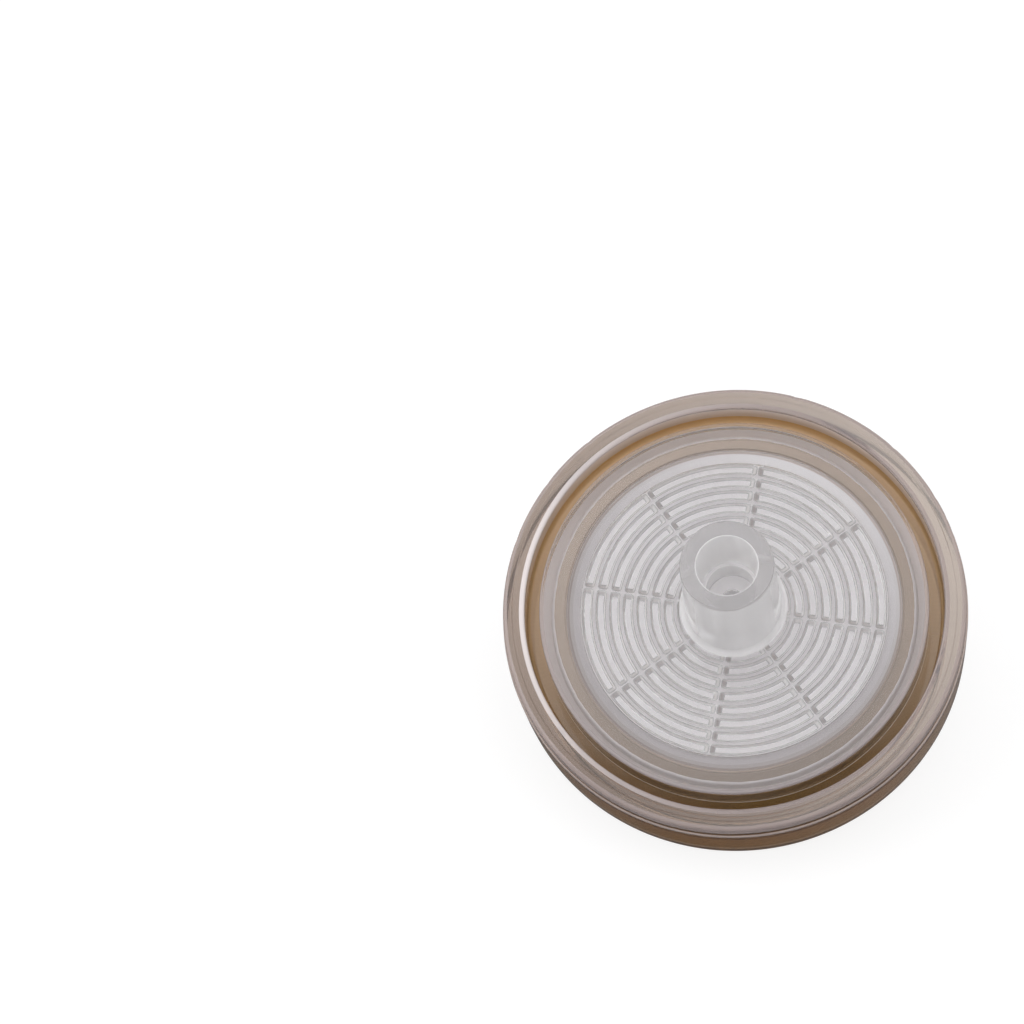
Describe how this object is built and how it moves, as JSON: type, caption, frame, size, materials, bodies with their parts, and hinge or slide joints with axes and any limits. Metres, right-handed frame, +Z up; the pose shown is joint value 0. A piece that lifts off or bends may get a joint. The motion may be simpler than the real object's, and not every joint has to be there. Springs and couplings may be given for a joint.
{
  "type": "syringe filter",
  "caption": "Luer syringe filter: clear inlet housing with a female luer hub, membrane, and a tinted outlet housing with a male luer in a lock collar.",
  "frame": {"origin": "on the surface it lies on, below the middle of its bounding box", "axes": "+X across the rim, +Z up; the inlet hub leans up and towards -Y, about 25 degrees from +Z"},
  "size_m": [0.033, 0.032, 0.0218],
  "materials": {
    "clear_polymer": "clear injection-moulded styrenic, glossy, slightly hazy on the hub",
    "tinted_polymer": "light brown transparent injection-moulded styrenic, glossy",
    "membrane": "white matt cellulose acetate membrane"
  },
  "bodies": {
    "root": {"inlet_housing": "clear_polymer", "membrane": "membrane", "outlet_housing": "tinted_polymer"}
  },
  "joints": []
}
